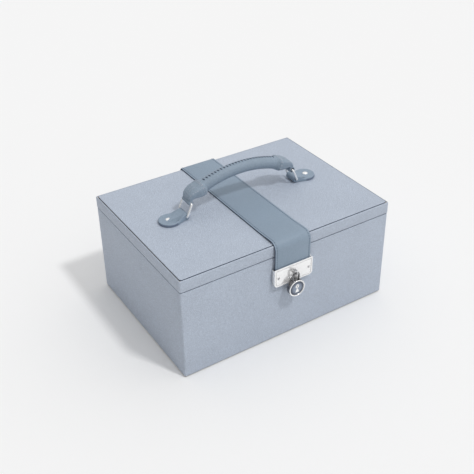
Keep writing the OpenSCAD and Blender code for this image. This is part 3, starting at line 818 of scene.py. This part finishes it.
# %% Turned pieces
def turned(profile, centre, axis, sides=48, hollow=False):
    """Rings of a profile of (radius, height) about an axis 0, 1 or 2 through centre. A hollow piece's
    profile is a closed loop."""
    profile = np.asarray(profile, float)
    turn = np.linspace(0, 2 * math.pi, sides + 1)[:-1]
    rings = np.zeros((len(profile), sides, 3))
    rings[..., axis] = profile[:, 1:2]
    rings[..., (axis + 1) % 3] = profile[:, 0:1] * np.cos(turn)
    rings[..., (axis + 2) % 3] = profile[:, 0:1] * np.sin(turn)
    return loft(rings + np.array(centre, float), along=hollow)


def dome(radius, height, seat, steps=7):
    """A rivet's head: a low rounded cap on a thin rim, standing on seat."""
    turn = np.linspace(0, math.pi / 2 - 0.06, steps)
    cap = np.stack([radius * np.cos(turn), seat + 0.15 * height + 0.85 * height * np.sin(turn)], -1)
    return np.concatenate([[(radius - 0.1, seat - 0.3), (radius, seat)], cap])


low, high = box_of("clasp_rivets")
rivet_z = (low[2] + high[2]) / 2
rivet_x = high[0] - 1.6
heads = []
for side in (-1, 1):
    profile = dome(1.6, 0.55, 0.0, 5) * (1, -1)
    heads.append(turned(profile, (side * rivet_x, front + 0.15, rivet_z), 1, 24))
make("clasp_rivet_heads", heads, darker_silver_and_groove_shade, "tongue", ["clasp_rivets"])

low, high = box_of("tab_rivets")
tab_rivet_x = high[0] - 3.0
tab_y = (low[1] + high[1]) / 2
tab_top = high[2] - 1.2
heads = [turned(dome(3.4, 1.3, 0.0), (side * tab_rivet_x, tab_y, tab_top), 2, 32) for side in (-1, 1)]
make("tab_rivet_heads", heads, satin_silver, "lid", ["tab_rivets"])


# %% [markdown]
# ## Wire pieces
# The rings, the padlock's shackle and the staple are bent wire. A wire is a circle carried along a
# path, and on a path in one plane the circle's axes are the plane's normal and the path's own normal.
# A closed path joins up with itself and an open one ends in flat faces.

# %% Wire pieces
def wire(path, radius, normal, closed=False, sides=16):
    """Rings of a circle along a path in the plane with that normal. radius is one number or two,
    the second being the half width along the normal."""
    path = np.asarray(path, float)
    if closed:
        run = np.roll(path, -1, 0) - np.roll(path, 1, 0)
    else:
        run = np.gradient(path, axis=0)
    run /= np.linalg.norm(run, axis=1, keepdims=True)
    normal = np.asarray(normal, float)
    across = np.cross(run, normal)
    turn = np.linspace(0, 2 * math.pi, sides + 1)[:-1]
    thin, wide = radius if isinstance(radius, tuple) else (radius, radius)
    rings = (path[:, None] + thin * np.cos(turn)[None, :, None] * across[:, None]
             + wide * np.sin(turn)[None, :, None] * normal)
    return loft(rings, along=closed)


joint_at = {j["name"]: np.array(j["pos_m"]) / MM for j in frame["joints"] if "pos_m" in j}


def ring_path(foot, head, half, corner):
    """A rectangle with round corners that leans from foot to head, its bars along Y."""
    lean = head - foot
    length = np.linalg.norm(lean)
    lean /= length
    flat = outline(half, length / 2, corner, 0.0)
    return (foot + head) / 2 + flat[:, 0:1] * np.array([0.0, 1.0, 0.0]) + flat[:, 1:2] * lean


# The outlines from here on are small or straight, so they need fewer points along a side.
SIDE_STEPS = 3
RING_HALF = 10.0
RING_CORNER = 2.4
RING_WIRE = 1.25
for name, side in (("left", -1), ("right", 1)):
    foot = joint_at[f"{name}_ring_tilt"]
    head = joint_at["handle_pivot"].copy()
    head[0] = side * abs(head[0])
    normal = np.cross((0.0, 1.0, 0.0), head - foot)
    normal /= np.linalg.norm(normal)
    loop = wire(ring_path(foot, head, RING_HALF, RING_CORNER), RING_WIRE, normal, closed=True)
    make(f"{name}_ring_wire", [loop], satin_silver, f"{name}_ring", [f"ring_{name}"])

# %% [markdown]
# ## Padlock
# The case is turned with a bright rim round a sunken face. A lacquered disc lies in the recess, and a
# keyhole-shaped plate stands on it. The shackle is one bent wire, longer on the side that stays in.

# %% Padlock
low, high = box_of("padlock_case")
lock_centre = (low + high) / 2
lock_r = (high[0] - low[0]) / 2
half_t = (high[1] - low[1]) / 2
case = np.concatenate([
    [(lock_r - 3.0, half_t)], fillet((lock_r - 1.0, half_t - 1.0), 1.0, 90, 0, 5),
    fillet((lock_r - 0.75, -half_t + 0.75), 0.75, 0, -180, 11),
    [(lock_r - 1.55, -half_t + 1.0), (lock_r - 2.2, -half_t + 1.0)],
])
padlock_case = make("padlock_body", [turned(case, lock_centre, 1, 64)], satin_silver, "padlock",
                    ["padlock_case"])
# The case's sides and back take the dark chrome as painted shade, against its bright front rim.
behind = face_centres(padlock_case)[:, 1] > lock_centre[1] - half_t + 1.3
paint_faces(padlock_case, dark_chrome, behind)
face_r = lock_r - 1.6
disc = [(face_r, -half_t + 1.02), (face_r, -half_t + 0.8), (face_r - 0.3, -half_t + 0.62),
        (face_r * 0.8, -half_t + 0.58), (face_r * 0.5, -half_t + 0.55), (face_r * 0.2, -half_t + 0.54)]
make("padlock_disc", [turned(disc, lock_centre, 1, 64)], blue_metal, "padlock",
     ["padlock_face"])

low, high = box_of("padlock_shackle")
SHACKLE_R = 1.1
leg = (high[0] - low[0]) / 2 - SHACKLE_R
crown = high[2] - SHACKLE_R - leg
lock_y = (low[1] + high[1]) / 2
bow = fillet((0.0, crown), leg, 0, 180, 25)
short_leg = [(leg, low[2] + 3.0), (leg, crown - 2.0)]
long_leg = [(-leg, crown - 2.0), (-leg, low[2])]
shackle_flat = np.concatenate([short_leg, bow, long_leg])
shackle_path = np.column_stack([shackle_flat[:, 0], np.full(len(shackle_flat), lock_y), shackle_flat[:, 1]])
shackle = wire(shackle_path, SHACKLE_R, (0.0, 1.0, 0.0))
make("shackle_wire", [shackle], dark_chrome, "shackle", ["padlock_shackle"])


# %% [markdown]
# The keyhole plate is in two pieces with a hair's gap between them: a ring round the plug that turns,
# and under it a skirt that flares downwards. The skirt is one outline with small arcs at its corners.

# %% Keyhole plate
def skirt(inset, y, top_z, top_half, foot_z, foot_half, soft=0.5):
    """An upright outline: a small flat top, and two straight sides that flare to a wide foot."""
    corners = [((top_half - 0.2, top_z - 0.2), 0.2, 0, 90),
               ((-top_half + 0.2, top_z - 0.2), 0.2, 90, 180),
               ((-foot_half + soft, foot_z + soft), soft, 180, 270),
               ((foot_half - soft, foot_z + soft), soft, 270, 360)]
    flat = np.concatenate([fillet(centre, max(r - inset, 0.05), a, b) for centre, r, a, b in corners])
    return np.column_stack([flat[:, 0], np.full(len(flat), y), flat[:, 1]])


low, high = box_of("padlock_keyhole")
plug_low, plug_high = box_of("padlock_plug")
plug_centre = (plug_low + plug_high) / 2
plug_r = (plug_high[0] - plug_low[0]) / 2
head_r = high[2] - plug_centre[2]
key_y = low[1]
steps = [(0.0, key_y + 0.6), (0.0, key_y + 0.15), (0.12, key_y), (0.2, key_y)]
foot = loft([skirt(d, y, plug_centre[2] - head_r - 0.6, 0.9, low[2], high[0]) for d, y in steps])
rim = [(plug_r + 0.06, 0.6), (head_r, 0.6), (head_r, 0.15), (head_r - 0.15, 0.0), (plug_r + 0.06, 0.0)]
ring = turned(rim, (plug_centre[0], key_y, plug_centre[2]), 1, 48, True)
make("keyhole_plate", [foot, ring], satin_silver, "padlock", ["padlock_keyhole"])

# %% [markdown]
# The staple is an eye that stands out of the plate. It is a U of flat band with a round opening for the
# shackle, and both its feet disappear into the plate.

# %% Staple
low, high = box_of("clasp_staple")
eye_z = (low[2] + high[2]) / 2
EYE_R = 2.6
BAND = (0.6, 1.2)
eye = fillet((lock_y, eye_z), EYE_R, 90, 270, 17)
root = np.array([(front + 0.6, eye_z - EYE_R), (front + 0.6, eye_z + EYE_R)])
eye_flat = np.concatenate([root[1:], eye, root[:1]])
eye_path = np.column_stack([np.zeros(len(eye_flat)), eye_flat])
eye_band = wire(resample(eye_path, 0.5), BAND, (1.0, 0.0, 0.0), sides=20)
make("staple_eye", [eye_band], darker_silver_and_groove_shade, "tongue", ["clasp_staple"])

# %% [markdown]
# ## Tabs
# Each tab is two layers of leather cut with a round end, narrowed to a neck, and folded round the
# ring's lower bar. The plan outline is one smooth curve, and the edge is rounded like the strap's. The
# leather climbs towards the ring, where the fold is a short sleeve with the bar through it.

# %% Tabs
def tab_plan(inset, z, lift, side, pivot_x, far_x, wide, neck):
    """Plan outline of one layer: a half circle at the far end, and a waist towards the ring, where the
    layer climbs by lift to meet the fold."""
    r = wide - inset
    cx = far_x - wide
    turn = np.radians(np.linspace(-90, 90, 25))
    round_end = np.stack([cx + r * np.cos(turn), r * np.sin(turn)], -1)
    share = np.linspace(0, 1, 14)[1:]
    ease = share * share * (3 - 2 * share)
    waist_x = cx + (pivot_x + 1.0 - cx) * share
    waist_y = (wide * (1 - ease) + neck * ease) - inset
    near = np.stack([waist_x, waist_y], -1)
    flat = np.concatenate([round_end, near, near[::-1] * (1, -1)])
    climb = np.clip((pivot_x + 12.0 - flat[:, 0]) / 11.0, 0, 1)
    height = z + lift * climb * climb * (3 - 2 * climb)
    return np.column_stack([side * flat[:, 0], flat[:, 1] + tab_y, height])


def sleeve(pivot, half, inner, outer):
    """A short leather tube along Y round a bar, with softly rounded ends."""
    soft = 0.5
    profile = np.array([(inner, -half + 0.2), (inner + 0.2, -half),
                        (outer - soft, -half), (outer, -half + soft),
                        (outer, half - soft), (outer - soft, half),
                        (inner + 0.2, half), (inner, half - 0.2)])
    turn = np.linspace(0, 2 * math.pi, 33)[:-1]
    rings = np.stack([profile[:, 0:1] * np.cos(turn), np.broadcast_to(profile[:, 1:2], (8, 32)),
                      profile[:, 0:1] * np.sin(turn)], -1)
    return loft(rings + pivot, along=True)


TAB_NECK = 8.5
TAB_HOLE = 1.4
for name, side in (("left", -1), ("right", 1)):
    low, high = box_of(f"tab_{name}")
    pivot = joint_at[f"{name}_ring_tilt"]
    far = max(abs(low[0]), abs(high[0]))
    wide = (high[1] - low[1]) / 2
    z0, z1 = LID_TOP + 0.02, tab_top
    fold_r = high[2] - pivot[2]
    lift = high[2] - 0.1 - z1
    steps = [(0.5, z0, 0.0), (0.0, z0 + 0.4, 0.0), (0.0, z1 - 0.8, lift), (0.25, z1 - 0.3, lift),
             (0.8, z1, lift), (1.6, z1, lift), (3.0, z1, lift)]
    plan = loft([tab_plan(d, z, up, side, abs(pivot[0]), far, wide, TAB_NECK) for d, z, up in steps])
    fold = sleeve(pivot, TAB_NECK, TAB_HOLE, fold_r)
    tab = make(f"{name}_tab", [plan, fold], strap_leather, "lid", [f"tab_{name}"])
    centres = face_centres(tab)
    upright = (np.abs(face_normals(tab)[:, 2]) < 0.5) & (centres[:, 2] < tab_top - 0.5)
    outer = np.abs(centres[:, 0]) > abs(pivot[0]) + 12.0
    paint_faces(tab, tab_side_and_seam_shade, upright & outer)

# %% [markdown]
# ## Handle
# The handle is one strip of leather. In the middle it is rolled round a cord and whip-stitched along
# its upper rear edge, and at each end it opens out flat, narrows, and folds round its ring. The path is
# an arc that turns down to each ring in one smooth curve. The section is a superellipse whose two half
# sizes and squareness change along the path: round on the grip, and flat and square-edged at the ends.

# %% Handle path
ARCH_R = 136.0
GRIP_END = 50.0
cover_low, cover_high = box_of("handle_cover")
GRIP_R = (cover_high[1] - cover_low[1]) / 2 + 0.3
arch_top = cover_high[2] + 0.4 - GRIP_R
handle_y = (cover_high[1] + cover_low[1]) / 2
pivot = joint_at["handle_pivot"]
bar_x, bar_z = abs(pivot[0]), pivot[2]


def handle_path():
    """X and Z along the handle: an arc over the grip, and a cubic curve from its end to each bar,
    (2t^3 - 3t^2 + 1) end + (t^3 - 2t^2 + t) slope + (3t^2 - 2t^3) bar + (t^3 - t^2) fall."""
    half = math.degrees(math.asin(GRIP_END / ARCH_R))
    over = fillet((0.0, arch_top - ARCH_R), ARCH_R, 90 + half, 90 - half, 41)
    share = np.linspace(0, 1, 16)[1:, None]
    end = over[-1]
    slope = np.array([math.cos(math.radians(half)), -math.sin(math.radians(half))])
    bar = np.array([bar_x - 0.2, bar_z + 2.4])
    fall = np.array([0.12, -0.99])
    reach = 1.2 * np.linalg.norm(bar - end)
    run = ((2 * share**3 - 3 * share**2 + 1) * end + (share**3 - 2 * share**2 + share) * slope * reach
           + (3 * share**2 - 2 * share**3) * bar + (share**3 - share**2) * fall * reach)
    return np.concatenate([(run * (-1, 1))[::-1], over, run])


handle_line = handle_path()
handle_run = np.concatenate([[0], np.cumsum(np.linalg.norm(np.diff(handle_line, axis=0), axis=1))])
print("handle runs", round(handle_run[-1]), "mm between its rings")


# %% [markdown]
# The section's sizes are eased between a few stations, measured from the nearer ring. The stitched seam
# is two rolled edges that meet: a wide bell curve added to the radius and a narrow one taken away, at
# one angle, and only where the grip is round.

# %% Handle skin
STATIONS = [0.0, 3.0, 7.0, 11.0, 16.0, 22.0, 25.5, 100.0]
HALF_WIDE = [8.3, 8.7, 9.5, 10.2, 10.9, 10.6, 7.4, 7.4]
HALF_THICK = [2.2, 3.0, 4.4, 5.7, 6.7, 7.7, 7.4, 7.4]
SQUARENESS = [5.0, 5.0, 4.6, 4.2, 3.8, 3.4, 2.0, 2.0]
SEAM_ANGLE = math.radians(-5)


def handle_section(distance, turn):
    """Half sizes at a distance from the nearer end, and the section's points at the angles turn, which
    are measured from straight up towards the rear."""
    wide = np.interp(distance, STATIONS, HALF_WIDE)[:, None]
    thick = np.interp(distance, STATIONS, HALF_THICK)[:, None]
    power = np.interp(distance, STATIONS, SQUARENESS)[:, None]
    s, c = np.sin(turn)[None], np.cos(turn)[None]
    radius = (np.abs(s / wide) ** power + np.abs(c / thick) ** power) ** (-1 / power)
    lip = np.clip((distance[:, None] - 26) / 3, 0, 1)
    away = np.angle(np.exp(1j * (turn[None] - SEAM_ANGLE)))
    radius = radius + lip * (0.35 * np.exp(-((away / 0.16) ** 2)) - 0.55 * np.exp(-((away / 0.04) ** 2)))
    return radius * s, radius * c


def along_handle(line, distance, turn):
    """The handle's surface as a function of a place along it and an angle round it."""
    run = np.gradient(line, axis=0)
    run /= np.linalg.norm(run, axis=1, keepdims=True)
    rise = np.stack([-run[:, 1], run[:, 0]], -1)
    side, up = handle_section(distance, turn)
    x = line[:, 0:1] + up * rise[:, 0:1]
    z = line[:, 1:2] + up * rise[:, 1:2]
    return np.stack([x, handle_y + side, z], -1)


fine_line = resample(handle_line, 1.0)
fine_run = np.linspace(0, handle_run[-1], len(fine_line))
from_end = np.minimum(fine_run, handle_run[-1] - fine_run)
around = SEAM_ANGLE + 2 * math.pi * (np.arange(120) + 0.5) / 120
skin = loft(along_handle(fine_line, from_end, around))
# The handle turns about the left bar. The right fold is wider, as its bar shifts inside it.
FOLD_HALF = 8.4
LEFT_FOLD = (1.4, 2.9)
RIGHT_FOLD = (2.6, 3.7)
folds = [sleeve(np.array([-bar_x, handle_y, bar_z]), FOLD_HALF, *LEFT_FOLD),
         sleeve(np.array([bar_x, handle_y, bar_z]), FOLD_HALF, *RIGHT_FOLD)]
make("handle_leather", [skin] + folds, handle_leather, "handle",
     ["handle_cover", "handle_end_left", "handle_end_right"], 60)

# %% [markdown]
# The whip stitches step along the ridge, a double row crosses the flat part where the roll ends, and
# three short rows hold the fold below it. Each row asks the same surface function for its places, so
# the beads sit on the leather.

# %% Handle stitches
def on_handle(distance_from_left, turn):
    """Places on the skin, with the outward direction there."""
    distance_from_left = np.asarray(distance_from_left, float)
    line = np.stack([np.interp(distance_from_left, fine_run, fine_line[:, k]) for k in (0, 1)], -1)
    nearer = np.minimum(distance_from_left, handle_run[-1] - distance_from_left)
    ahead = np.stack([np.interp(distance_from_left + 0.5, fine_run, fine_line[:, k]) for k in (0, 1)], -1)
    run = ahead - line
    run /= np.linalg.norm(run, axis=1, keepdims=True)
    rise = np.stack([-run[:, 1], run[:, 0]], -1)
    side, up = handle_section(nearer, turn)
    x = line[:, 0:1] + up * rise[:, 0:1]
    z = line[:, 1:2] + up * rise[:, 1:2]
    place = np.stack([x, handle_y + side, z], -1)
    centre = np.column_stack([line[:, 0], np.full(len(line), handle_y), line[:, 1]])
    return place, place - centre[:, None], run


WHIP = 3.8
whip_at = np.arange(28.0, handle_run[-1] - 28.0, WHIP)
place, out, run = on_handle(whip_at, np.array([SEAM_ANGLE]))
slant = np.column_stack([0.35 * run[:, 0], np.full(len(run), -1.2), 0.35 * run[:, 1]])
whip = beads(place[:, 0] + np.array([0.0, 0.2, 0.0]), slant, out[:, 0], (1.8, 0.85, 0.95))
cross = []
for station in (20.0, 22.0):
    for distance in (station, handle_run[-1] - station):
        turn = np.linspace(-1.9, 1.9, 11)
        place, out, run = on_handle(np.array([distance]), turn)
        way = np.gradient(place[0], axis=0)
        cross.append(beads(place[0], way, out[0], (0.95, 0.45, 0.35)))
for turn in (-1.15, -0.35, 0.45):
    for distance in (np.arange(3.0, 15.0, 2.4), handle_run[-1] - np.arange(3.0, 15.0, 2.4)):
        place, out, run = on_handle(distance, np.array([turn]))
        way = np.column_stack([run[:, 0], np.zeros(len(run)), run[:, 1]])
        cross.append(beads(place[:, 0], way, out[:, 0], (0.95, 0.35, 0.3)))
make("handle_whip_stitches", [whip], whip_thread_and_stitch_shade, "handle")
make("handle_cross_stitches", cross, light_thread, "handle")

# %% [markdown]
# ## Ring rolls
# The tray has a bed of velvet rolls that grip rings between them. Each is a strip of foam wrapped in
# cloth: fat in the middle, pulled in where the cloth is gathered at its ends, and standing on a narrower
# foot. One section is carried along the roll, and its size swells and shrinks with the place.

# %% Ring rolls
ROLLS = 7


def ring_roll(centre_y, half_wide, x0, x1, z0, z1):
    """A crowned bar along X. Its section is a superellipse that narrows towards its foot, and its size
    falls at both ends as a quarter of an ellipse. Shallow folds run along it near the ends."""
    share = np.linspace(0, 1, 41)
    along = x0 + (x1 - x0) * share
    to_end = np.minimum(along - x0, x1 - along)
    size = np.sqrt(1 - np.clip(1 - to_end / 2.6, 0, 0.985) ** 2)
    belly = 0.965 + 0.035 * np.sin(math.pi * share)
    turn = np.linspace(0, 2 * math.pi, 49)[:-1]
    s, c = np.sin(turn)[None], np.cos(turn)[None]
    foot = 1 - 0.16 * np.clip(-c, 0, 1) ** 2
    radius = (np.abs(s) ** 2.4 + np.abs(c) ** 2.4) ** (-1 / 2.4)
    folds = 1 - 0.03 * np.exp(-to_end[:, None] / 3.0) * (1 + np.sin(9 * turn + centre_y)[None])
    grown = (size * belly)[:, None] * folds * radius
    y = centre_y + half_wide * grown * s * foot
    z = (z0 + z1) / 2 + (z1 - z0) / 2 * grown * c
    x = np.broadcast_to(along[:, None], y.shape)
    return loft(np.stack([x, y, z], -1))


low, high = box_of("ring_rolls")
pitch = (high[1] - low[1] + 0.8) / ROLLS
roll_centres = low[1] - 0.4 + pitch * (np.arange(ROLLS) + 0.5)
rolls = [ring_roll(y, pitch / 2 - 0.3, low[0], high[0], low[2], high[2] + 0.4) for y in roll_centres]
ring_rolls = make("velvet_ring_rolls", rolls, velvet, "base", ["ring_rolls"], 60)

# %% [markdown]
# ## Mirror frame
# A soft rolled frame of velvet holds the mirror under the lid. It is the walls' method again: one
# crowned section carried round a rectangle, this time hanging down from the lid.

# %% Mirror frame
low, high = box_of("mirror_frame")
FRAME_W = 10.0
crown = fillet((FRAME_W / 2, high[2] - 1.0), 1.0, 180, 360, 13)
crown[:, 0] = FRAME_W / 2 + (crown[:, 0] - FRAME_W / 2) * FRAME_W / 2
crown[:, 1] = high[2] - 1.0 + (crown[:, 1] - high[2] + 1.0) * 1.5
frame_section = np.concatenate([[(0.0, high[2])], crown, [(FRAME_W, high[2])]])
roll = carried(frame_section, high[0], high[1], 4.0)
make("mirror_frame_roll", [roll], velvet, "lid", ["mirror_frame"], 60)

# %% [markdown]
# ## Softened edges
# Wrapped boards and folded velvet have no knife edges. A narrow bevel rounds the sharp ones on the
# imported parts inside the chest, and each then shows a thin highlight as real ones do.

# %% Softened edges
SOFT_EDGES = {
    "top_tray": 0.5, "tray_lining": 0.3, "tray_dividers": 0.6, "cabinet_uprights": 0.4,
    "cabinet_shelves": 0.4, "base_lining": 0.4, "lid_lining": 0.4, "lid_mirror": 0.4, "long_drawer_box": 0.4,
    "long_drawer_front": 0.5, "long_drawer_lining": 0.3, "left_drawer_box": 0.4, "left_drawer_front": 0.5,
    "left_drawer_lining": 0.3, "right_drawer_box": 0.4, "right_drawer_front": 0.5, "right_drawer_lining": 0.3,
    "base_pad": 0.3,
}
for node, width in SOFT_EDGES.items():
    bevel = frame["nodes"][node].modifiers.new("soft_edges", "BEVEL")
    bevel.width = width * MM
    bevel.segments = 2
    bevel.limit_method = "ANGLE"
    bevel.angle_limit = math.radians(50)
print(len(SOFT_EDGES), "nodes with softened edges")

# %% Update the scene
bpy.context.view_layer.update()
